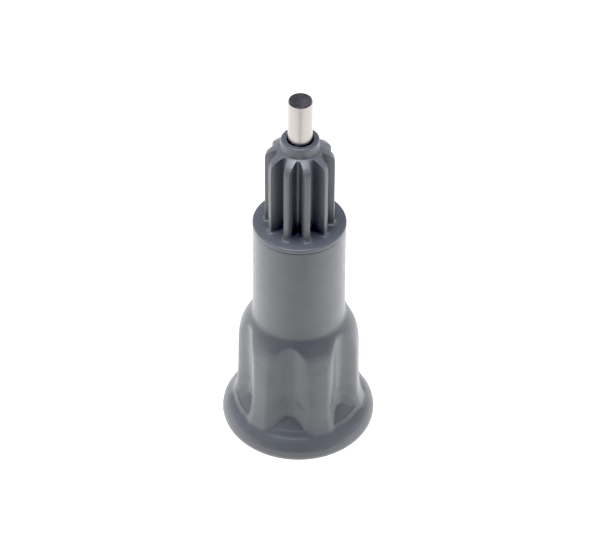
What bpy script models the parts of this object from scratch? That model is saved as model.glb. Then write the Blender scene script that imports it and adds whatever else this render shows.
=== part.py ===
"""Pinion drive spindle: a moulded coupling with a six-lobed socket, a keyed ten-tooth pinion and a steel axle.

The long axis is +Z, the flat underside of the bell lip lies on Z = 0 and one lobe of the coupling faces -Y.
All dimensions below are in millimetres and are scaled to metres when geometry is made.
"""

import math

import bmesh
import bpy

MM = 0.001

# Overall heights
TOTAL_HEIGHT = 88.0
COLLAR_TOP = 78.0
SHOULDER_TOP = 55.8
BARREL_TOP = 54.7

# Six-lobed skirt
LOBES = 6
LOBE_ANGLE = 30.0
LOBE_CREST_HALF = 6.0
LOBE_FLANK_END = 28.5
SKIRT_SEGMENTS = 96
SOCKET_VALLEY_RADIUS = 8.9
SOCKET_LOBE_DEPTH = 2.0
SOCKET_CEILING = 24.5
WEB_TOP = 27.0
WEB_HOLE_RADIUS = 3.9

# Keyed bore between the coupling and the pinion
KEY_VALLEY_RADIUS = 6.9
KEY_LOBE_DEPTH = 0.6
KEY_CLEARANCE = 0.05
KEY_BOTTOM = 40.0

# Pinion
TEETH = 10
TOOTH_ANGLE = 10.15
TIP_RADIUS = 7.35
ROOT_RADIUS = 4.5
TOOTH_TOP = 75.3
DISC_RADIUS = 10.0
DISC_BOTTOM = 55.0
STEM_RADIUS = 5.0
STEM_BOTTOM = 27.3
COLLAR_RADIUS = 4.07
MOUTH_RADIUS = 2.77
BUSH_SEAT_RADIUS = 3.53
BUSH_SEAT_TOP = 70.0

# Axle and the pieces on it
PIN_RADIUS = 2.6
PIN_JOURNAL_RADIUS = 2.0
PIN_STEP = 35.9
PIN_BOTTOM = 21.9
PIN_CHAMFER = 0.25
GROOVE_RADIUS = 1.6
GROOVE_BOTTOM = 22.8
GROOVE_TOP = 23.6
BUSH_RADIUS = 3.5
RUNNING_CLEARANCE = 0.05
WASHER_RADIUS = 4.6
CLIP_RADIUS = 3.6
CLIP_OPENING = 2.6

# Barrel and the sloping shelf over the lobes, from the barrel's top edge down: height, radius
SHELF = (
    (54.7, 9.6),
    (54.5, 9.86),
    (54.1, 9.9),
    (31.0, 10.0),
    (30.5, 10.1),
    (30.1, 10.28),
    (29.6, 10.68),
    (28.95, 11.2),
    (28.15, 11.77),
    (27.2, 12.3),
    (26.0, 12.74),
    (24.7, 13.05),
    (23.0, 13.3),
    (19.8, 15.0),
)

# Bell-shaped lip, from where it leaves the valley floors down to its underside: height, radius
BELL = (
    (14.4, 9.0),
    (13.4, 9.7),
    (12.3, 10.4),
    (11.2, 11.05),
    (10.2, 11.65),
    (9.0, 12.3),
    (7.8, 12.9),
    (6.8, 13.45),
    (6.1, 13.85),
    (5.6, 14.25),
    (5.2, 14.85),
    (4.6, 15.55),
    (3.9, 16.15),
    (3.1, 16.6),
    (2.2, 16.8),
    (1.3, 16.65),
    (0.6, 16.2),
    (0.15, 15.6),
    (0.0, 15.0),
)

# Pockets sunk into the bell between the lobes
POCKET_RIM = 13.8
POCKET_RIM_HEIGHT = 6.15
POCKET_SLOPE = 1.0

# Fluted wall with its mould draft: height, valley radius, lobe radius
FLUTES = (
    (32.0, 11.2, 13.15),
    (22.0, 11.2, 13.2),
    (18.0, 11.12, 13.25),
    (14.0, 10.9, 13.3),
    (11.0, 10.5, 13.42),
    (9.0, 10.25, 13.6),
    (7.0, 10.2, 13.9),
    (6.0, 10.2, 14.15),
    (0.0, 10.2, 14.15),
)
EDGE_BLEND = 0.35
FOOT_BLEND = 1.4
OUTER_HEIGHTS = (
    54.7, 54.5, 54.1, 33.0, 31.0, 30.5, 30.1, 29.6, 29.0, 28.4, 27.7, 26.9, 26.0, 24.9, 23.6, 21.6, 18.0,
    15.6, 14.0, 12.9, 12.0,
    11.2, 10.8, 10.4, 10.0, 9.4, 8.7, 8.0, 7.4, 6.9, 6.5, 6.1, 5.6, 5.2, 4.6, 3.9, 3.1, 2.2, 1.3, 0.6, 0.15, 0.0,
)

# Half thickness of a pinion tooth from tip to root: radius, half thickness
TOOTH_FLANK = (
    (7.8, 0.36),
    (7.35, 0.52),
    (6.9, 0.66),
    (6.4, 0.77),
    (5.8, 0.86),
    (5.2, 0.92),
    (4.85, 1.0),
    (4.6, 1.14),
)

# Outline that trims the tooth tops, from the top down: radius, height
TOOTH_ENVELOPE = (
    (0.0, 75.5),
    (4.3, 75.5),
    (5.2, 75.1),
    (6.1, 74.6),
    (6.75, 74.1),
    (7.1, 73.6),
    (7.3, 73.0),
    (7.35, 72.3),
    (7.35, 55.4),
    (0.0, 55.4),
)


def clear_scene():
    for obj in list(bpy.data.objects):
        bpy.data.objects.remove(obj, do_unlink=True)


def new_collection(name):
    collection = bpy.data.collections.new(name)
    bpy.context.scene.collection.children.link(collection)
    return collection


def plastic(name, colour, roughness):
    material = bpy.data.materials.new(name)
    material.use_nodes = True
    shader = material.node_tree.nodes["Principled BSDF"]
    shader.inputs["Base Color"].default_value = (*colour, 1.0)
    shader.inputs["Roughness"].default_value = roughness
    return material


def metal(name, colour, roughness):
    material = plastic(name, colour, roughness)
    material.node_tree.nodes["Principled BSDF"].inputs["Metallic"].default_value = 1.0
    return material


def link_mesh(name, bm, collection, material):
    bmesh.ops.recalc_face_normals(bm, faces=bm.faces)
    mesh = bpy.data.meshes.new(name)
    bm.to_mesh(mesh)
    bm.free()
    obj = bpy.data.objects.new(name, mesh)
    collection.objects.link(obj)
    if material is not None:
        obj.data.materials.append(material)
    return obj


def shade_round(obj, degrees=32.0):
    mesh = obj.data
    mesh.shade_smooth()
    mesh.set_sharp_from_angle(angle=math.radians(degrees))


def eased(value, low, high):
    """Smooth step from 0 at low to 1 at high."""
    fraction = min(max((value - low) / (high - low), 0.0), 1.0)
    return fraction * fraction * (3.0 - 2.0 * fraction)


def lobe_weight(angle):
    """1 on a lobe's crest and 0 in the valley between two lobes."""
    pitch = 360.0 / LOBES
    offset = abs((angle - LOBE_ANGLE + pitch / 2.0) % pitch - pitch / 2.0)
    return 1.0 - eased(offset, LOBE_CREST_HALF, LOBE_FLANK_END)


def read_profile(profile, height, column=1):
    """Straight-line reading of a profile that lists its heights from high to low."""
    if height >= profile[0][0]:
        return profile[0][column]
    for above, below in zip(profile, profile[1:]):
        if height >= below[0]:
            share = (height - below[0]) / (above[0] - below[0])
            return below[column] + share * (above[column] - below[column])
    return profile[-1][column]


def smaller(first, second, blend):
    """The smaller of two radii, rounded where they cross."""
    share = max(blend - abs(first - second), 0.0) / blend
    return min(first, second) - share * share * blend / 4.0


def outer_point(angle, height):
    """Radius and height of the fluted wall, trimmed by the shelf and swallowed by the bell with its pockets."""
    valley = read_profile(FLUTES, height, 1)
    lobe = read_profile(FLUTES, height, 2)
    fluted = valley + (lobe - valley) * lobe_weight(angle)
    trimmed = smaller(fluted, read_profile(SHELF, height), EDGE_BLEND)
    if height > BELL[0][0]:
        return trimmed, height
    bell = read_profile(BELL, height)
    wall = -smaller(-trimmed, -bell, FOOT_BLEND)
    floor = POCKET_RIM_HEIGHT + POCKET_SLOPE * (POCKET_RIM - wall)
    share = eased(bell - fluted, 0.1, 0.5) * (1.0 - eased(wall, POCKET_RIM - 0.6, POCKET_RIM + 0.3))
    return wall, height - max(height - floor, 0.0) * share


def plain_station(height, valley, lobe):
    """Section of a wall whose radius follows the lobes."""
    return lambda angle: (valley + (lobe - valley) * lobe_weight(angle), height)


def outer_station(height):
    return lambda angle: outer_point(angle, height)


def ring(bm, station, segments):
    verts = []
    for step in range(segments):
        angle = 360.0 * step / segments
        radius, height = station(angle)
        turn = math.radians(angle)
        verts.append(bm.verts.new((radius * math.cos(turn) * MM, radius * math.sin(turn) * MM, height * MM)))
    return verts


def bridge(bm, upper, lower):
    count = len(upper)
    for step in range(count):
        following = (step + 1) % count
        bm.faces.new((upper[step], upper[following], lower[following], lower[step]))


def lofted_loop(name, stations, segments, collection, material):
    """Loft through a closed run of stations, each a function from angle to radius and height."""
    bm = bmesh.new()
    rings = [ring(bm, station, segments) for station in stations]
    for index, lower in enumerate(rings):
        bridge(bm, rings[index - 1], lower)
    return link_mesh(name, bm, collection, material)


def lofted_solid(name, stations, segments, collection):
    """Loft through sections and cap both ends."""
    bm = bmesh.new()
    rings = [ring(bm, station, segments) for station in stations]
    for upper, lower in zip(rings, rings[1:]):
        bridge(bm, upper, lower)
    bm.faces.new(rings[0])
    bm.faces.new(rings[-1])
    return link_mesh(name, bm, collection, None)


def turned(name, profile, segments, collection, material):
    """Turn a closed profile of radius, height pairs about Z."""
    bm = bmesh.new()
    verts = [bm.verts.new((radius * MM, 0.0, height * MM)) for radius, height in profile]
    for first, second in zip(verts, verts[1:] + verts[:1]):
        if first.co.x > 0.0 or second.co.x > 0.0:
            bm.edges.new((first, second))
    mesh = bpy.data.meshes.new(name)
    bm.to_mesh(mesh)
    bm.free()
    obj = bpy.data.objects.new(name, mesh)
    collection.objects.link(obj)
    screw = obj.modifiers.new("Turn", "SCREW")
    screw.axis = "Z"
    screw.angle = math.tau
    screw.steps = segments
    screw.render_steps = segments
    screw.use_merge_vertices = True
    screw.merge_threshold = 0.00001
    if material is not None:
        obj.data.materials.append(material)
    return obj


def extruded(name, outline, bottom, top, collection, material):
    """Extrude a flat outline of x, y pairs from one height to another."""
    bm = bmesh.new()
    verts = [bm.verts.new((x * MM, y * MM, bottom * MM)) for x, y in outline]
    face = bm.faces.new(verts)
    lifted = bmesh.ops.extrude_face_region(bm, geom=[face])
    raised = [item for item in lifted["geom"] if isinstance(item, bmesh.types.BMVert)]
    bmesh.ops.translate(bm, verts=raised, vec=(0.0, 0.0, (top - bottom) * MM))
    return link_mesh(name, bm, collection, material)


def combine(obj, other, operation):
    modifier = obj.modifiers.new(operation.title(), "BOOLEAN")
    modifier.operation = operation
    modifier.solver = "EXACT"
    modifier.object = other


def make_cutter(obj):
    obj.hide_render = True
    obj.display_type = "WIRE"


def build_coupling_body(parts, material):
    socket_lobe = SOCKET_VALLEY_RADIUS + SOCKET_LOBE_DEPTH
    key_lobe = KEY_VALLEY_RADIUS + KEY_LOBE_DEPTH
    stations = [outer_station(height) for height in OUTER_HEIGHTS]
    stations += [
        plain_station(0.0, SOCKET_VALLEY_RADIUS + 0.6, socket_lobe + 0.6),
        plain_station(0.7, SOCKET_VALLEY_RADIUS, socket_lobe),
        plain_station(SOCKET_CEILING - 0.4, SOCKET_VALLEY_RADIUS, socket_lobe),
        plain_station(SOCKET_CEILING, SOCKET_VALLEY_RADIUS - 0.4, socket_lobe - 0.4),
        plain_station(SOCKET_CEILING, WEB_HOLE_RADIUS + 1.5, WEB_HOLE_RADIUS + 1.5),
        plain_station(SOCKET_CEILING, WEB_HOLE_RADIUS, WEB_HOLE_RADIUS),
        plain_station(WEB_TOP, WEB_HOLE_RADIUS, WEB_HOLE_RADIUS),
        plain_station(WEB_TOP, KEY_VALLEY_RADIUS, key_lobe),
        plain_station(BARREL_TOP - 0.4, KEY_VALLEY_RADIUS, key_lobe),
        plain_station(BARREL_TOP, KEY_VALLEY_RADIUS + 0.4, key_lobe + 0.4),
    ]
    body = lofted_loop("coupling_body", stations, SKIRT_SEGMENTS, parts, material)
    shade_round(body)
    return body


def tooth_outline():
    """One closed ten-tooth star, root arcs included, as x, y pairs."""
    points = []
    for tooth in range(TEETH):
        centre = math.radians(TOOTH_ANGLE + 360.0 * tooth / TEETH)
        side = [(radius, -half) for radius, half in reversed(TOOTH_FLANK)]
        side += [(radius, half) for radius, half in TOOTH_FLANK]
        for radius, half in side:
            along = math.sqrt(radius * radius - half * half)
            x = along * math.cos(centre) - half * math.sin(centre)
            y = along * math.sin(centre) + half * math.cos(centre)
            points.append((x, y))
    return points


def build_pinion(parts, cutters, material):
    profile = (
        (MOUTH_RADIUS + 0.15, COLLAR_TOP),
        (COLLAR_RADIUS - 0.3, COLLAR_TOP),
        (COLLAR_RADIUS - 0.08, COLLAR_TOP - 0.1),
        (COLLAR_RADIUS, COLLAR_TOP - 0.35),
        (COLLAR_RADIUS, TOOTH_TOP),
        (ROOT_RADIUS, TOOTH_TOP - 0.35),
        (ROOT_RADIUS, SHOULDER_TOP + 0.35),
        (ROOT_RADIUS + 0.12, SHOULDER_TOP + 0.1),
        (ROOT_RADIUS + 0.4, SHOULDER_TOP),
        (DISC_RADIUS - 0.35, SHOULDER_TOP),
        (DISC_RADIUS - 0.1, SHOULDER_TOP - 0.1),
        (DISC_RADIUS, SHOULDER_TOP - 0.35),
        (DISC_RADIUS, DISC_BOTTOM),
        (STEM_RADIUS, DISC_BOTTOM),
        (STEM_RADIUS, STEM_BOTTOM + 0.3),
        (STEM_RADIUS - 0.3, STEM_BOTTOM),
        (BUSH_SEAT_RADIUS + 0.2, STEM_BOTTOM),
        (BUSH_SEAT_RADIUS, STEM_BOTTOM + 0.2),
        (BUSH_SEAT_RADIUS, BUSH_SEAT_TOP),
        (MOUTH_RADIUS, BUSH_SEAT_TOP),
        (MOUTH_RADIUS, COLLAR_TOP - 0.15),
    )
    pinion = turned("pinion", profile, 80, parts, material)

    teeth = extruded("pinion_teeth", tooth_outline(), DISC_BOTTOM + 0.3, TOOTH_TOP + 1.0, cutters, None)
    envelope = turned("pinion_tooth_envelope", TOOTH_ENVELOPE, 80, cutters, None)
    combine(teeth, envelope, "INTERSECT")
    bore = turned(
        "pinion_tooth_bore",
        ((0.0, 80.0), (BUSH_SEAT_RADIUS + 0.5, 80.0), (BUSH_SEAT_RADIUS + 0.5, 50.0), (0.0, 50.0)),
        80,
        cutters,
        None,
    )
    combine(teeth, bore, "DIFFERENCE")

    key_lobe = KEY_VALLEY_RADIUS + KEY_LOBE_DEPTH
    key_stations = (
        plain_station(DISC_BOTTOM + 0.3, KEY_VALLEY_RADIUS - KEY_CLEARANCE, key_lobe - KEY_CLEARANCE),
        plain_station(KEY_BOTTOM + 0.6, KEY_VALLEY_RADIUS - KEY_CLEARANCE, key_lobe - KEY_CLEARANCE),
        plain_station(KEY_BOTTOM, KEY_VALLEY_RADIUS - 0.6, key_lobe - 0.6),
    )
    key = lofted_solid("pinion_key", key_stations, SKIRT_SEGMENTS, cutters)
    key_bore = turned(
        "pinion_key_bore",
        ((0.0, 60.0), (STEM_RADIUS - 0.5, 60.0), (STEM_RADIUS - 0.5, 36.0), (0.0, 36.0)),
        80,
        cutters,
        None,
    )
    combine(key, key_bore, "DIFFERENCE")

    combine(pinion, key, "UNION")
    combine(pinion, teeth, "UNION")
    for cutter in (teeth, envelope, bore, key, key_bore):
        make_cutter(cutter)
    return pinion


def build_axle_pin(parts, material):
    profile = (
        (0.0, TOTAL_HEIGHT),
        (PIN_RADIUS - PIN_CHAMFER, TOTAL_HEIGHT),
        (PIN_RADIUS, TOTAL_HEIGHT - PIN_CHAMFER),
        (PIN_RADIUS, PIN_STEP),
        (PIN_JOURNAL_RADIUS, PIN_STEP),
        (PIN_JOURNAL_RADIUS, GROOVE_TOP),
        (GROOVE_RADIUS, GROOVE_TOP),
        (GROOVE_RADIUS, GROOVE_BOTTOM),
        (PIN_JOURNAL_RADIUS, GROOVE_BOTTOM),
        (PIN_JOURNAL_RADIUS, PIN_BOTTOM + 0.3),
        (PIN_JOURNAL_RADIUS - 0.3, PIN_BOTTOM),
        (0.0, PIN_BOTTOM),
    )
    return turned("axle_pin", profile, 48, parts, material)


def build_bush(name, inner, bottom, top, parts, material):
    chamfer = 0.2
    profile = (
        (inner + chamfer, top),
        (BUSH_RADIUS - chamfer, top),
        (BUSH_RADIUS, top - chamfer),
        (BUSH_RADIUS, bottom + chamfer),
        (BUSH_RADIUS - chamfer, bottom),
        (inner + chamfer, bottom),
        (inner, bottom + chamfer),
        (inner, top - chamfer),
    )
    return turned(name, profile, 48, parts, material)


def build_washer(parts, material):
    inner = PIN_JOURNAL_RADIUS + RUNNING_CLEARANCE
    profile = ((inner, 24.3), (WASHER_RADIUS, 24.3), (WASHER_RADIUS, 23.8), (inner, 23.8))
    return turned("thrust_washer", profile, 48, parts, material)


def build_clip(parts, material):
    """A flat open ring that snaps into the axle groove."""
    inner = GROOVE_RADIUS + RUNNING_CLEARANCE
    half = CLIP_OPENING / 2.0
    outer_start = math.asin(half / CLIP_RADIUS)
    inner_start = math.asin(half / inner)
    steps = 36
    outline = []
    for step in range(steps + 1):
        angle = outer_start + (math.tau - 2.0 * outer_start) * step / steps
        outline.append((CLIP_RADIUS * math.cos(angle), CLIP_RADIUS * math.sin(angle)))
    for step in range(steps + 1):
        angle = math.tau - inner_start - (math.tau - 2.0 * inner_start) * step / steps
        outline.append((inner * math.cos(angle), inner * math.sin(angle)))
    return extruded("retaining_clip", outline, 22.9, 23.5, parts, material)


def main():
    clear_scene()
    parts = new_collection("pinion_drive_spindle")
    cutters = new_collection("pinion_drive_spindle_cutters")

    build_coupling_body(parts, plastic("coupling_plastic", (0.165, 0.17, 0.18), 0.42))
    build_pinion(parts, cutters, plastic("pinion_plastic", (0.155, 0.16, 0.17), 0.4))
    build_axle_pin(parts, metal("axle_steel", (0.78, 0.76, 0.73), 0.22))
    build_bush("upper_bush", PIN_RADIUS + RUNNING_CLEARANCE, 61.0, 69.7, parts,
               metal("upper_bush_bronze", (0.62, 0.42, 0.2), 0.4))
    build_bush("lower_bush", PIN_JOURNAL_RADIUS + RUNNING_CLEARANCE, 24.6, 35.6, parts,
               metal("lower_bush_bronze", (0.62, 0.42, 0.2), 0.4))
    build_washer(parts, metal("washer_steel", (0.6, 0.6, 0.6), 0.3))
    build_clip(parts, metal("clip_steel", (0.35, 0.35, 0.36), 0.35))


main()
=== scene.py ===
"""Studio scene of a pinion drive spindle: grey moulded coupling and pinion on a bright steel axle.

Profiles are in millimetres and angles in degrees. Overall heights and outer radii are read from the frame.
"""

import math

import bpy
import numpy as np
from mathutils import Matrix, Vector


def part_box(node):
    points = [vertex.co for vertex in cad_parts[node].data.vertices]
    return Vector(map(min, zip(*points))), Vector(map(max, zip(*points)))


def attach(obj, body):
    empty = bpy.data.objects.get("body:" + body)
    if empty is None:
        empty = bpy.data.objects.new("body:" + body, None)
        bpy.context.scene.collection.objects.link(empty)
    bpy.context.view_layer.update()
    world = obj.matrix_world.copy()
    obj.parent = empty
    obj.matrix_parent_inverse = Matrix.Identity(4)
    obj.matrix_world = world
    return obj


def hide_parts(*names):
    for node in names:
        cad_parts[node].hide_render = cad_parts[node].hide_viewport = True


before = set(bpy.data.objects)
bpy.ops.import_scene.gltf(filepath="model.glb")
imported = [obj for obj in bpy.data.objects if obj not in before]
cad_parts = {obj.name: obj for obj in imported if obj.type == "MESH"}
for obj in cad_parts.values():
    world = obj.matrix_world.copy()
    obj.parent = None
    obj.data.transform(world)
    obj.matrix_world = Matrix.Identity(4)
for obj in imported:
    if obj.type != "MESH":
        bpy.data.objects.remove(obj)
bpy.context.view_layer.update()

MM = 0.001
SHARP_ANGLE = 35.0

body_low, body_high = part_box("coupling_body")
pinion_low, pinion_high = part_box("pinion")
pin_low, pin_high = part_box("axle_pin")

LIP_RADIUS = body_high[0] / MM
BARREL_TOP = body_high[2] / MM
COLLAR_TOP = pinion_high[2] / MM
STEM_BOTTOM = pinion_low[2] / MM
DISC_RADIUS = pinion_high[0] / MM
PIN_TOP = pin_high[2] / MM
PIN_BOTTOM = pin_low[2] / MM
PIN_RADIUS = pin_high[0] / MM

# Camera, in degrees and metres. The floor's glow and the surroundings are laid out along the same azimuth.
VIEW_AZIMUTH = -21.0
VIEW_ELEVATION = 41.55
VIEW_DISTANCE = 0.670
VIEW_AIM_HEIGHT = 0.03929
VIEW_ROLL = 0.42

# Floor, in metres. Glow: from, to, strength at the first, strength at the second.
FLOOR_HALF = 3.0
FLOOR_TILES = 12
GLOW_IN_FRONT = (-0.45, -0.10, -0.9, 0.0)
GLOW_BEHIND = (0.0, 0.06, 0.0, 0.1)
GLOW_ACROSS = (0.015, 0.05, 1.42, 1.82)
GLOW_AROUND = (0.068, 0.088, 0.0, -0.3)

# Coupling
LOBE_ANGLE = 30.0
LOBE_CREST_HALF = 6.0
LOBE_FLANK_END = 28.5
COUPLING_SEGMENTS = 288
EDGE_BLEND = 0.45
FOOT_BLEND = 1.4
POCKET_RIM = 13.8
POCKET_RIM_HEIGHT = 6.15
POCKET_SLOPE = 1.0
BARREL_RADIUS = 9.9
BARREL_ROUND = 0.15
LIP_MIDDLE = 2.2
LIP_FLAT_RADIUS = 15.0
SOCKET_VALLEY = 8.9
SOCKET_DEPTH = 2.0
SOCKET_CEILING = 24.5
WEB_TOP = 27.0
WEB_HOLE = 3.9
KEY_VALLEY = 6.9
KEY_DEPTH = 0.6

# Pinion
TEETH = 10
TOOTH_ANGLE = 10.15
TIP_RADIUS = 7.35
ROOT_RADIUS = 4.5
SHOULDER = BARREL_TOP + 1.1
DISC_BOTTOM = BARREL_TOP + 0.06
FOOT_FILLET = 0.7
COLLAR_RADIUS = 4.07
RIM_ROUND = 0.35
MOUTH_ROUND = 0.15
MOUTH_RADIUS = 2.77
BUSH_SEAT_RADIUS = 3.53
BUSH_SEAT_TOP = 70.0
STEM_RADIUS = 5.0
KEY_BOTTOM = 40.0
KEY_CLEARANCE = 0.05

# Axle
PIN_SEGMENTS = 160
PIN_CHAMFER = 0.25
PIN_EDGE = 0.04
PIN_STEP = 35.9
JOURNAL_RADIUS = 2.0
GROOVE_RADIUS = 1.6
GROOVE_TOP = 23.6
GROOVE_BOTTOM = 22.8

# Barrel and sloping shelf: height, radius
SHELF = np.array([
    (BARREL_TOP, BARREL_RADIUS), (54.0, BARREL_RADIUS), (31.0, 10.0), (30.5, 10.1), (30.1, 10.28),
    (29.6, 10.68), (28.95, 11.2), (28.15, 11.77), (27.2, 12.3), (26.0, 12.74), (24.7, 13.05),
    (23.0, 13.3), (19.8, 15.0),
])

# Bell lip: height, radius
BELL = np.array([
    (14.4, 9.0), (13.4, 9.7), (12.3, 10.4), (11.2, 11.05), (10.2, 11.65), (9.0, 12.3), (7.8, 12.9),
    (6.8, 13.45), (6.1, 13.85), (5.6, 14.25), (5.2, 14.85), (4.6, 15.55), (3.9, 16.15), (3.1, 16.6),
    (LIP_MIDDLE, LIP_RADIUS), (1.3, 16.65), (0.6, 16.2), (0.15, 15.6), (0.0, LIP_FLAT_RADIUS),
])

# Fluted wall: height, valley radius, lobe radius
FLUTES = np.array([
    (32.0, 11.2, 13.15), (22.0, 11.2, 13.2), (18.0, 11.12, 13.25), (14.0, 10.9, 13.3), (11.0, 10.5, 13.42),
    (9.0, 10.25, 13.6), (7.0, 10.2, 13.9), (6.0, 10.2, 14.15), (0.0, 10.2, 14.15),
])

# Outline over the collar and the tooth tops: height, radius
TOOTH_TOPS = np.array([
    (80.0, COLLAR_RADIUS), (75.6, COLLAR_RADIUS), (75.5, 4.3), (75.1, 5.2), (74.6, 6.1), (74.1, 6.75),
    (73.6, 7.1), (73.0, 7.3), (72.3, TIP_RADIUS), (71.0, 7.6), (50.0, 12.0),
])

# Half thickness of a tooth: radius, half thickness
TOOTH_FLANK = np.array([
    (4.5, 1.2), (4.6, 1.1), (4.85, 0.98), (5.2, 0.92), (5.8, 0.86), (6.4, 0.77), (6.9, 0.66), (7.2, 0.575),
    (7.31, 0.51), (7.35, 0.42),
])


def table(profile, heights, column=1):
    order = profile[::-1]
    return np.interp(heights, order[:, 0], order[:, column])


def softened(profile, heights, reach, column=1):
    """Profile read at several nearby heights and averaged, which rounds its corners."""
    offsets = np.linspace(-reach, reach, 9)
    weights = 1.0 - np.abs(offsets) / (reach * 1.2)
    total = sum(w * table(profile, heights + o, column) for w, o in zip(weights, offsets))
    return total / weights.sum()


def smaller(first, second, blend):
    share = np.maximum(blend - np.abs(first - second), 0.0) / blend
    return np.minimum(first, second) - share * share * blend / 4.0


def larger(first, second, blend):
    return -smaller(-first, -second, blend)


def smooth_step(value, low, high):
    share = np.clip((value - low) / (high - low), 0.0, 1.0)
    return share * share * (3.0 - 2.0 * share)


def lobe_weight(angles):
    offset = np.abs((angles - LOBE_ANGLE + 30.0) % 60.0 - 30.0)
    return 1.0 - smooth_step(offset, LOBE_CREST_HALF, LOBE_FLANK_END)


def ring(angles, radii, height):
    turn = np.radians(angles)
    radii = np.broadcast_to(radii, turn.shape)
    return np.column_stack((radii * np.cos(turn), radii * np.sin(turn), np.full(turn.shape, height)))


def loft(name, rings, body, replaced, material, capped=False):
    """Run of rings of equal length, bridged with quads, as one solid piece.

    The last ring joins the first one, which leaves a bore, unless both ends are capped.
    """
    count = len(rings[0])
    total = len(rings)
    verts = np.concatenate(rings) * MM
    faces = []
    for index in range(total - 1 if capped else total):
        upper = index * count
        lower = ((index + 1) % total) * count
        for step in range(count):
            following = (step + 1) % count
            faces.append((upper + step, lower + step, lower + following, upper + following))
    if capped:
        faces.append(tuple(range(count)))
        faces.append(tuple(reversed(range((total - 1) * count, total * count))))
    mesh = bpy.data.meshes.new(name)
    mesh.from_pydata(verts.tolist(), [], faces)
    mesh.validate()
    mesh.shade_smooth()
    mesh.set_sharp_from_angle(angle=math.radians(SHARP_ANGLE))
    obj = bpy.data.objects.new(name, mesh)
    bpy.context.scene.collection.objects.link(obj)
    mesh.materials.append(material)
    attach(obj, body)
    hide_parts(replaced)


def arc(start, end, corner, steps):
    """Quarter round from start to end about a corner, as radius, height pairs."""
    points = []
    for step in range(steps + 1):
        turn = math.pi / 2.0 * step / steps
        x = corner[0] + (start[0] - corner[0]) * math.cos(turn) + (end[0] - corner[0]) * math.sin(turn)
        y = corner[1] + (start[1] - corner[1]) * math.cos(turn) + (end[1] - corner[1]) * math.sin(turn)
        points.append((x, y))
    return points


# ---------------------------------------------------------------- materials


def add(tree, kind, **settings):
    node = tree.nodes.new(kind)
    for key, value in settings.items():
        setattr(node, key, value)
    return node


def noise(tree, vector, scale, detail=4.0, roughness=0.55):
    node = add(tree, "ShaderNodeTexNoise")
    node.inputs["Scale"].default_value = scale
    node.inputs["Detail"].default_value = detail
    node.inputs["Roughness"].default_value = roughness
    tree.links.new(vector, node.inputs["Vector"])
    return node.outputs["Fac"]


def remap(tree, value, low, high, new_low, new_high):
    node = add(tree, "ShaderNodeMapRange")
    for key, number in (("From Min", low), ("From Max", high), ("To Min", new_low), ("To Max", new_high)):
        node.inputs[key].default_value = number
    tree.links.new(value, node.inputs["Value"])
    return node.outputs["Result"]


def new_material(name):
    material = bpy.data.materials.new(name)
    material.use_nodes = True
    tree = material.node_tree
    shader = tree.nodes["Principled BSDF"]
    coordinates = add(tree, "ShaderNodeTexCoord").outputs["Object"]
    return material, tree, shader, coordinates


def bump(tree, height, strength, distance, shader):
    node = add(tree, "ShaderNodeBump")
    node.inputs["Strength"].default_value = strength
    node.inputs["Distance"].default_value = distance
    tree.links.new(height, node.inputs["Height"])
    tree.links.new(node.outputs["Normal"], shader.inputs["Normal"])


def moulded_plastic(name, dark, light, roughness):
    """Satin plastic: fine spark-eroded grain, slight flow mottling and uneven gloss."""
    material, tree, shader, coordinates = new_material(name)
    flow = noise(tree, coordinates, 160.0, 3.0)
    grain = noise(tree, coordinates, 5200.0, 2.0)
    mix = add(tree, "ShaderNodeMix", data_type="RGBA")
    mix.inputs["A"].default_value = (*dark, 1.0)
    mix.inputs["B"].default_value = (*light, 1.0)
    tree.links.new(remap(tree, flow, 0.3, 0.7, 0.0, 1.0), mix.inputs["Factor"])
    tree.links.new(mix.outputs["Result"], shader.inputs["Base Color"])
    gloss = noise(tree, coordinates, 700.0, 3.0)
    rough = remap(tree, gloss, 0.3, 0.7, roughness - 0.04, roughness + 0.05)
    tree.links.new(rough, shader.inputs["Roughness"])
    bump(tree, grain, 0.05, 0.00002, shader)
    return material


def ground_steel(name, colour, roughness, grain_scale):
    """Ground steel: fine lines round the axis, with a little unevenness in gloss."""
    material, tree, shader, coordinates = new_material(name)
    shader.inputs["Metallic"].default_value = 1.0
    stretch = add(tree, "ShaderNodeMapping")
    stretch.inputs["Scale"].default_value = grain_scale
    tree.links.new(coordinates, stretch.inputs["Vector"])
    lines = noise(tree, stretch.outputs["Vector"], 1.0, 3.0, 0.6)
    cloud = noise(tree, coordinates, 450.0, 3.0)
    mix = add(tree, "ShaderNodeMix", data_type="RGBA")
    mix.inputs["A"].default_value = (*[c * 0.93 for c in colour], 1.0)
    mix.inputs["B"].default_value = (*colour, 1.0)
    tree.links.new(cloud, mix.inputs["Factor"])
    tree.links.new(mix.outputs["Result"], shader.inputs["Base Color"])
    rough = remap(tree, lines, 0.3, 0.7, roughness - 0.05, roughness + 0.07)
    tree.links.new(rough, shader.inputs["Roughness"])
    bump(tree, lines, 0.15, 0.00001, shader)
    return material


def sintered_bronze(name):
    material, tree, shader, coordinates = new_material(name)
    shader.inputs["Metallic"].default_value = 1.0
    pores = noise(tree, coordinates, 3500.0, 3.0)
    mix = add(tree, "ShaderNodeMix", data_type="RGBA")
    mix.inputs["A"].default_value = (0.30, 0.18, 0.08, 1.0)
    mix.inputs["B"].default_value = (0.62, 0.42, 0.20, 1.0)
    tree.links.new(remap(tree, pores, 0.35, 0.6, 0.0, 1.0), mix.inputs["Factor"])
    tree.links.new(mix.outputs["Result"], shader.inputs["Base Color"])
    shader.inputs["Roughness"].default_value = 0.42
    bump(tree, pores, 0.4, 0.00003, shader)
    return material


# ---------------------------------------------------------------- coupling


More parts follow.
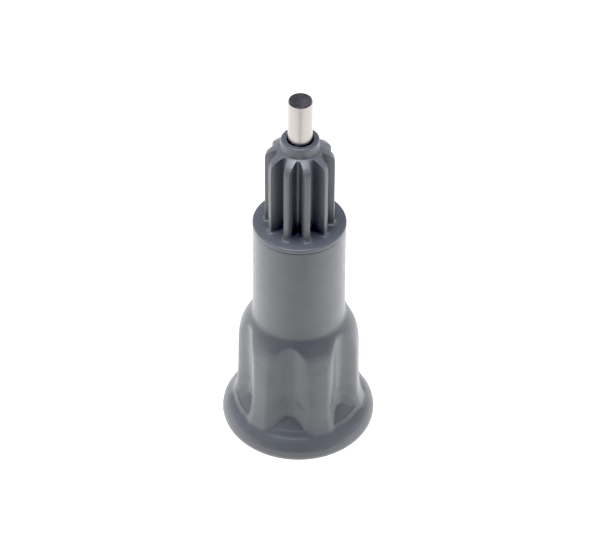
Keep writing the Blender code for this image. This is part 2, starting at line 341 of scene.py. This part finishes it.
def outer_ring(angles, height):
    """Outer wall at a height: flutes trimmed by the shelf, standing in the bell.

    The bell is sunk between the lobes, which makes the pockets.
    """
    here = np.array([height])
    valley = softened(FLUTES, here, 0.6, 1)[0]
    lobe = softened(FLUTES, here, 0.6, 2)[0]
    fluted = valley + (lobe - valley) * lobe_weight(angles)
    reach = 0.25 if height < BARREL_TOP - 0.6 else 0.02
    trimmed = smaller(fluted, softened(SHELF, here, reach)[0], EDGE_BLEND)
    if height > BELL[0, 0]:
        return ring(angles, trimmed, height)
    bell = softened(BELL, here, 0.2)[0] if height > 2.6 else table(BELL, here)[0]
    wall = larger(trimmed, bell, FOOT_BLEND)
    rim = 1.0 - smooth_step(wall, POCKET_RIM - 0.6, POCKET_RIM + 0.3)
    floor = POCKET_RIM_HEIGHT + POCKET_SLOPE * (POCKET_RIM - wall)
    points = ring(angles, wall, height)
    points[:, 2] -= np.maximum(height - floor, 0.0) * rim * smooth_step(bell - fluted, 0.1, 0.5)
    return points


def coupling_heights():
    runs = (
        np.linspace(54.1, 33.0, 8),
        np.linspace(32.2, 22.0, 66),
        np.linspace(21.5, 14.6, 12),
        np.linspace(14.3, 2.6, 96),
    )
    return np.concatenate(runs)


def build_coupling(material):
    angles = np.arange(COUPLING_SEGMENTS) * 360.0 / COUPLING_SEGMENTS
    weight = lobe_weight(angles)
    key = KEY_VALLEY + KEY_DEPTH * weight
    socket = SOCKET_VALLEY + SOCKET_DEPTH * weight
    rings = []
    inner, lower = BARREL_RADIUS - BARREL_ROUND, BARREL_TOP - BARREL_ROUND
    top = arc((inner, BARREL_TOP), (BARREL_RADIUS, lower), (inner, lower), 4)
    rings += [ring(angles, radius, height) for radius, height in top]
    rings += [outer_ring(angles, height) for height in coupling_heights()]
    for step in range(1, 17):
        turn = math.pi / 2.0 * step / 16
        radius = LIP_FLAT_RADIUS + (LIP_RADIUS - LIP_FLAT_RADIUS) * math.cos(turn)
        rings.append(ring(angles, radius, LIP_MIDDLE - LIP_MIDDLE * math.sin(turn)))
    rings += [
        ring(angles, socket + 1.2, 0.0),
        ring(angles, socket + 0.6, 0.0),
        ring(angles, socket + 0.28, 0.12),
        ring(angles, socket + 0.08, 0.35),
        ring(angles, socket, 0.7),
        ring(angles, socket, 12.0),
        ring(angles, socket, SOCKET_CEILING - 0.4),
        ring(angles, socket - 0.12, SOCKET_CEILING - 0.12),
        ring(angles, socket - 0.4, SOCKET_CEILING),
        ring(angles, 5.4, SOCKET_CEILING),
        ring(angles, WEB_HOLE, SOCKET_CEILING),
        ring(angles, WEB_HOLE, WEB_TOP),
        ring(angles, key, WEB_TOP),
        ring(angles, key, BARREL_TOP - 0.4),
        ring(angles, key + 0.4, BARREL_TOP),
    ]
    loft("coupling_moulding", rings, "spindle", "coupling_body", material)


# ---------------------------------------------------------------- pinion


def tooth_section():
    """Angles and radii of one toothed section, as one ring of points round the axis."""
    spread = np.degrees(np.arcsin(TOOTH_FLANK[:, 1] / TOOTH_FLANK[:, 0]))
    radii = np.concatenate((np.linspace(4.5, 4.9, 6), np.linspace(5.1, 7.1, 9), np.linspace(7.2, 7.35, 6)))
    flank_angles = np.interp(radii, TOOTH_FLANK[:, 0], spread)
    root_angles = np.array([18.0, 17.2, 16.4])
    crest_angles = np.array([2.2, 1.1])
    half_angles = np.concatenate((root_angles, flank_angles, crest_angles))
    half_radii = np.concatenate((np.full(3, ROOT_RADIUS), radii, np.full(2, TIP_RADIUS)))
    tooth_angles = np.concatenate((-half_angles, [0.0], half_angles[::-1][:-1]))
    tooth_radii = np.concatenate((half_radii, [TIP_RADIUS], half_radii[::-1][:-1]))
    angles = [tooth_angles + TOOTH_ANGLE + 360.0 * tooth / TEETH for tooth in range(TEETH)]
    return np.concatenate(angles), np.tile(tooth_radii, TEETH), tooth_angles, tooth_radii


def swollen_section(tooth_angles, tooth_radii, distance):
    """Radii, along the same angles, of the section grown outwards by a distance, for one tooth."""
    outline = []
    for turn in (-36.0, 0.0, 36.0):
        t = np.radians(tooth_angles + turn)
        outline.append(np.column_stack((tooth_radii * np.cos(t), tooth_radii * np.sin(t))))
    outline = np.concatenate(outline)
    starts, ends = outline[:-1], outline[1:]
    edges = ends - starts
    lengths = np.maximum((edges ** 2).sum(axis=1), 1e-12)
    grown = []
    for angle, radius in zip(np.radians(tooth_angles), tooth_radii):
        trial = np.linspace(radius, radius + distance + 2.8, 260)
        points = np.column_stack((trial * math.cos(angle), trial * math.sin(angle)))
        share = ((points[:, None, :] - starts) * edges).sum(axis=2) / lengths
        nearest = starts + np.clip(share, 0.0, 1.0)[:, :, None] * edges
        gap = np.sqrt(((points[:, None, :] - nearest) ** 2).sum(axis=2)).min(axis=1)
        inside = trial[gap <= distance + 1e-6]
        grown.append(max(inside.max() if len(inside) else radius, radius))
    return np.array(grown)


def build_pinion(material):
    angles, radii, tooth_angles, tooth_radii = tooth_section()
    weight = lobe_weight(angles)
    key = KEY_VALLEY - KEY_CLEARANCE + KEY_DEPTH * weight
    rings = []
    outer, lower = MOUTH_RADIUS + MOUTH_ROUND, COLLAR_TOP - MOUTH_ROUND
    mouth = arc((MOUTH_RADIUS, lower), (outer, COLLAR_TOP), (outer, lower), 4)
    inner, lower = COLLAR_RADIUS - RIM_ROUND, COLLAR_TOP - RIM_ROUND
    brow = arc((inner, COLLAR_TOP), (COLLAR_RADIUS, lower), (inner, lower), 6)
    rings += [ring(angles, radius, height) for radius, height in mouth + brow]
    runs = (np.linspace(77.0, 76.0, 3), np.linspace(75.8, 72.0, 64), np.linspace(71.0, 58.0, 8))
    heights = np.concatenate(runs)
    for height in heights:
        cap = softened(TOOTH_TOPS, np.array([height]), 0.1)[0]
        rings.append(ring(angles, smaller(radii, cap, 0.12), height))
    for step in range(9):
        turn = math.pi / 2.0 * step / 8
        height = SHOULDER + FOOT_FILLET * (1.0 - math.sin(turn))
        grown = swollen_section(tooth_angles, tooth_radii, FOOT_FILLET * (1.0 - math.cos(turn)))
        rings.append(ring(angles, np.tile(grown, TEETH), height))
    rings.append(ring(angles, 9.0, SHOULDER))
    inner, lower = DISC_RADIUS - RIM_ROUND, SHOULDER - RIM_ROUND
    rim = arc((inner, SHOULDER), (DISC_RADIUS, lower), (inner, lower), 6)
    rings += [ring(angles, radius, height) for radius, height in rim]
    rings += [
        ring(angles, DISC_RADIUS, DISC_BOTTOM + 0.1),
        ring(angles, DISC_RADIUS - 0.1, DISC_BOTTOM),
        ring(angles, key, DISC_BOTTOM),
        ring(angles, key, KEY_BOTTOM + 0.6),
        ring(angles, key - 0.55, KEY_BOTTOM),
        ring(angles, STEM_RADIUS, KEY_BOTTOM - 0.1),
        ring(angles, STEM_RADIUS, STEM_BOTTOM + 0.3),
        ring(angles, STEM_RADIUS - 0.3, STEM_BOTTOM),
        ring(angles, BUSH_SEAT_RADIUS + 0.2, STEM_BOTTOM),
        ring(angles, BUSH_SEAT_RADIUS, STEM_BOTTOM + 0.2),
        ring(angles, BUSH_SEAT_RADIUS, BUSH_SEAT_TOP),
        ring(angles, MOUTH_RADIUS, BUSH_SEAT_TOP),
    ]
    loft("pinion_moulding", rings, "spindle", "pinion", material)


# ---------------------------------------------------------------- axle


def build_pin(material):
    angles = np.arange(PIN_SEGMENTS) * 360.0 / PIN_SEGMENTS
    shoulder = PIN_TOP - PIN_CHAMFER
    profile = [
        (0.8, PIN_TOP), (1.6, PIN_TOP), (PIN_RADIUS - PIN_CHAMFER, PIN_TOP),
        (PIN_RADIUS - PIN_EDGE, shoulder + PIN_EDGE), (PIN_RADIUS - 0.01, shoulder),
        (PIN_RADIUS, shoulder - PIN_EDGE), (PIN_RADIUS, 60.0), (PIN_RADIUS, PIN_STEP),
        (JOURNAL_RADIUS, PIN_STEP), (JOURNAL_RADIUS, GROOVE_TOP), (GROOVE_RADIUS, GROOVE_TOP),
        (GROOVE_RADIUS, GROOVE_BOTTOM), (JOURNAL_RADIUS, GROOVE_BOTTOM), (JOURNAL_RADIUS, PIN_BOTTOM + 0.3),
        (JOURNAL_RADIUS - 0.3, PIN_BOTTOM),
    ]
    rings = [ring(angles, radius, height) for radius, height in profile]
    loft("axle_pin_ground", rings, "axle", "axle_pin", material, capped=True)


# ---------------------------------------------------------------- stage


def direction_of(azimuth, elevation):
    """Unit vector from the object towards an azimuth and elevation; azimuth 0 is on -Y."""
    a, e = math.radians(azimuth), math.radians(elevation)
    return Vector((math.sin(a) * math.cos(e), -math.cos(a) * math.cos(e), math.sin(e)))


def add_camera():
    aim = Vector((0.0, 0.0, VIEW_AIM_HEIGHT))
    offset = direction_of(VIEW_AZIMUTH, VIEW_ELEVATION)
    data = bpy.data.cameras.new("camera")
    data.sensor_width = 36.0
    data.lens = 188.0
    data.clip_end = 20.0
    camera = bpy.data.objects.new("camera", data)
    bpy.context.scene.collection.objects.link(camera)
    facing = (-offset).to_track_quat("-Z", "Y").to_matrix().to_4x4()
    roll = Matrix.Rotation(math.radians(VIEW_ROLL), 4, "Z")
    camera.matrix_world = Matrix.Translation(aim + offset * VIEW_DISTANCE) @ facing @ roll
    data.shift_x = -0.0002
    bpy.context.scene.camera = camera


def add_softbox(name, azimuth, elevation, distance, width, height, power, colour):
    """Rectangular area light aimed at the middle of the object."""
    direction = direction_of(azimuth, elevation)
    data = bpy.data.lights.new(name, "AREA")
    data.shape = "RECTANGLE"
    data.size = width
    data.size_y = height
    data.energy = power
    data.color = colour
    light = bpy.data.objects.new(name, data)
    bpy.context.scene.collection.objects.link(light)
    light.matrix_world = (
        Matrix.Translation(direction * distance + Vector((0.0, 0.0, 0.04)))
        @ direction.to_track_quat("Z", "Y").to_matrix().to_4x4()
    )
    return light


def turned_with_view(tree, vector):
    """The X, Y and Z of a vector after a turn about Z that puts -Y under the camera."""
    turned = add(tree, "ShaderNodeMapping", vector_type="POINT")
    turned.inputs["Rotation"].default_value = (0.0, 0.0, math.radians(-VIEW_AZIMUTH))
    tree.links.new(vector, turned.inputs["Vector"])
    split = add(tree, "ShaderNodeSeparateXYZ")
    tree.links.new(turned.outputs["Vector"], split.inputs["Vector"])
    return split.outputs


def add_world():
    """Dark surroundings, bright near the horizon at the sides and behind the object."""
    world = bpy.data.worlds.new("studio")
    bpy.context.scene.world = world
    world.use_nodes = True
    tree = world.node_tree
    background = tree.nodes["Background"]
    turned = turned_with_view(tree, add(tree, "ShaderNodeTexCoord").outputs["Generated"])
    low = remap(tree, turned["Z"], 0.0, 0.25, 1.0, 0.0)
    away = remap(tree, turned["Y"], -0.6, 0.0, 0.05, 1.0)
    share = add(tree, "ShaderNodeMath", operation="MULTIPLY")
    tree.links.new(low, share.inputs[0])
    tree.links.new(away, share.inputs[1])
    mix = add(tree, "ShaderNodeMix", data_type="RGBA")
    mix.inputs["A"].default_value = (0.12, 0.13, 0.17, 1.0)
    mix.inputs["B"].default_value = (1.9, 1.9, 1.9, 1.0)
    tree.links.new(share.outputs["Value"], mix.inputs["Factor"])
    tree.links.new(mix.outputs["Result"], background.inputs["Color"])
    background.inputs["Strength"].default_value = 1.0


def add_floor():
    """White floor lit from within, dimmer in front of the object and brighter at its sides."""
    ticks = np.linspace(-FLOOR_HALF, FLOOR_HALF, FLOOR_TILES + 1)
    verts = [(x, y, 0.0) for y in ticks for x in ticks]
    faces = []
    for row in range(FLOOR_TILES):
        for column in range(FLOOR_TILES):
            first = row * (FLOOR_TILES + 1) + column
            faces.append((first, first + 1, first + FLOOR_TILES + 2, first + FLOOR_TILES + 1))
    mesh = bpy.data.meshes.new("studio_floor")
    mesh.from_pydata(verts, [], faces)
    floor = bpy.data.objects.new("studio_floor", mesh)
    bpy.context.scene.collection.objects.link(floor)
    material, tree, shader, coordinates = new_material("glowing_floor")
    shader.inputs["Base Color"].default_value = (0.15, 0.15, 0.15, 1.0)
    shader.inputs["Roughness"].default_value = 0.9
    shader.inputs["Specular IOR Level"].default_value = 0.1
    # Painted light: the floor glows, weaker in front of the object and stronger at its sides and behind,
    # and this glow lights the object.
    shader.inputs["Emission Color"].default_value = (1.0, 1.0, 1.0, 1.0)
    turned = turned_with_view(tree, coordinates)
    across = add(tree, "ShaderNodeMath", operation="ABSOLUTE")
    tree.links.new(turned["X"], across.inputs[0])
    distance = add(tree, "ShaderNodeVectorMath", operation="LENGTH")
    tree.links.new(coordinates, distance.inputs[0])
    parts = (
        remap(tree, turned["Y"], *GLOW_IN_FRONT),
        remap(tree, turned["Y"], *GLOW_BEHIND),
        remap(tree, across.outputs["Value"], *GLOW_ACROSS),
        remap(tree, distance.outputs["Value"], *GLOW_AROUND),
    )
    glow = parts[0]
    for part in parts[1:]:
        total = add(tree, "ShaderNodeMath", operation="ADD")
        tree.links.new(glow, total.inputs[0])
        tree.links.new(part, total.inputs[1])
        glow = total.outputs["Value"]
    tree.links.new(glow, shader.inputs["Emission Strength"])
    mesh.materials.append(material)


def main():
    add_camera()
    add_floor()
    add_world()
    for name, azimuth in (("left_box", -106.0), ("right_box", 64.0)):
        box = add_softbox(name, azimuth, 8.0, 1.1, 1.0, 0.28, 11.0, (1.0, 0.99, 0.97))
        box.visible_glossy = False
    add_softbox("top_box", -111.0, 86.0, 1.0, 0.55, 0.55, 13.0, (0.90, 0.95, 1.06))
    view = bpy.context.scene.view_settings
    view.view_transform = "Standard"
    view.use_curve_mapping = True
    view.curve_mapping.black_level = (0.028, 0.028, 0.027)

    # Painted light: coupling and pinion are one plastic, and the pinion's copy is painted lighter to make
    # up for the shade it sits in.
    grey = moulded_plastic("coupling_grey", (0.091, 0.094, 0.100), (0.106, 0.109, 0.115), 0.32)
    pinion_grey_painted_lighter = moulded_plastic("pinion_grey_painted_lighter", (0.106, 0.109, 0.118), (0.118, 0.121, 0.129), 0.37)
    steel = ground_steel("axle_steel", (0.46, 0.425, 0.40), 0.28, (300.0, 300.0, 9000.0))
    build_coupling(grey)
    build_pinion(pinion_grey_painted_lighter)
    build_pin(steel)

    kept = {
        "upper_bush": sintered_bronze("upper_bush_bronze"),
        "lower_bush": sintered_bronze("lower_bush_bronze"),
        "thrust_washer": ground_steel("washer_steel", (0.56, 0.56, 0.56), 0.32, (2500.0, 2500.0, 2500.0)),
        "retaining_clip": ground_steel("clip_steel", (0.30, 0.30, 0.32), 0.30, (1800.0, 1800.0, 1800.0)),
    }
    for node, material in kept.items():
        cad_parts[node].material_slots[0].material = material


main()
